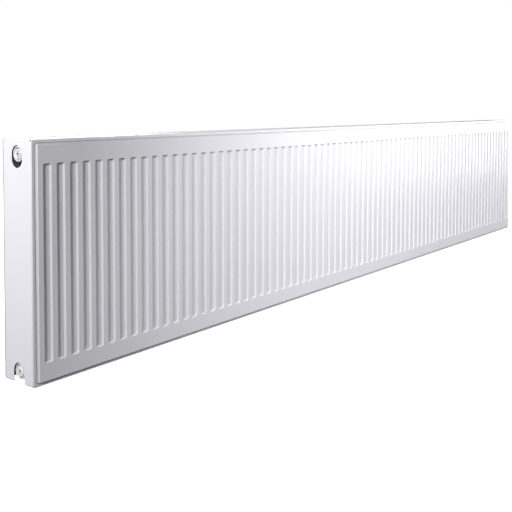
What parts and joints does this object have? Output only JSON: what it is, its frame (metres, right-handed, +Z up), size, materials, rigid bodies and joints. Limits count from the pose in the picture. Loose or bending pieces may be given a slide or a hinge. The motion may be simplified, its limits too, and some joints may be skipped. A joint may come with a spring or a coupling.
{
  "type": "panel radiator",
  "caption": "Long double-panel steel radiator with grooved faces, convector fins, a slotted top grille and end covers that leave the corner ports open.",
  "frame": {"origin": "centre of the base of the bounding box, hanging lugs included, on the plane of the panels' bottom edges", "axes": "+X along the length with the vent plug at the -X end, +Y from the room face towards the wall, +Z up"},
  "size_m": [2.6, 0.12, 0.5],
  "materials": {
    "panel_paint": "white powder coat, semi-gloss, fine orange peel",
    "fin_paint": "white powder coat, thin and slightly matt",
    "cover_paint": "white powder coat, semi-gloss, smooth",
    "plug_plastic": "moulded, satin",
    "screw_metal": "nickel plated, satin",
    "spring_steel": "bright rolled strip",
    "seal_rubber": "matt black"
  },
  "bodies": {
    "radiator": {"front_outer_sheet": "panel_paint", "front_inner_sheet": "panel_paint", "rear_inner_sheet": "panel_paint", "rear_outer_sheet": "panel_paint", "front_convector": "fin_paint", "rear_convector": "fin_paint", "tee_top_left": "panel_paint", "tee_bottom_left": "panel_paint", "tee_top_right": "panel_paint", "tee_bottom_right": "panel_paint", "ring_front_top_left": "spring_steel", "ring_front_bottom_left": "spring_steel", "ring_front_top_right": "spring_steel", "ring_front_bottom_right": "spring_steel", "ring_rear_top_left": "spring_steel", "ring_rear_bottom_left": "spring_steel", "ring_rear_top_right": "spring_steel", "ring_rear_bottom_right": "spring_steel", "lug_top_left": "panel_paint", "lug_top_middle": "panel_paint", "lug_top_right": "panel_paint", "lug_bottom_left": "panel_paint", "lug_bottom_middle": "panel_paint", "lug_bottom_right": "panel_paint", "vent_plug": "plug_plastic", "vent_plug_seal": "seal_rubber", "blank_plug": "plug_plastic", "blank_plug_seal": "seal_rubber"},
    "grille": {"top_grille": "cover_paint", "grille_clip_1": "spring_steel", "grille_clip_2": "spring_steel", "grille_clip_3": "spring_steel", "grille_clip_4": "spring_steel"},
    "left_cover": {"left_cover": "cover_paint", "left_clip_top": "spring_steel", "left_clip_bottom": "spring_steel"},
    "right_cover": {"right_cover": "cover_paint", "right_clip_top": "spring_steel", "right_clip_bottom": "spring_steel"},
    "vent_spout": {"vent_spout": "plug_plastic"},
    "bleed_screw": {"bleed_screw": "screw_metal"}
  },
  "joints": [
    {"name": "grille_lift", "type": "slide", "parent": "radiator", "child": "grille", "axis": [0, 0, 1], "range_m": [0, 0.07]},
    {"name": "left_cover_pull", "type": "slide", "parent": "radiator", "child": "left_cover", "axis": [-1, 0, 0], "range_m": [0, 0.03]},
    {"name": "right_cover_pull", "type": "slide", "parent": "radiator", "child": "right_cover", "axis": [1, 0, 0], "range_m": [0, 0.03]},
    {"name": "vent_spout_swivel", "type": "hinge", "parent": "radiator", "child": "vent_spout", "pos_m": [-1.3, -0.005, 0.47], "axis": [-1, 0, 0], "continuous": true},
    {"name": "bleed_screw_turn", "type": "hinge", "parent": "radiator", "child": "bleed_screw", "pos_m": [-1.3, -0.005, 0.47], "axis": [-1, 0, 0], "range_deg": [0, 360]}
  ]
}
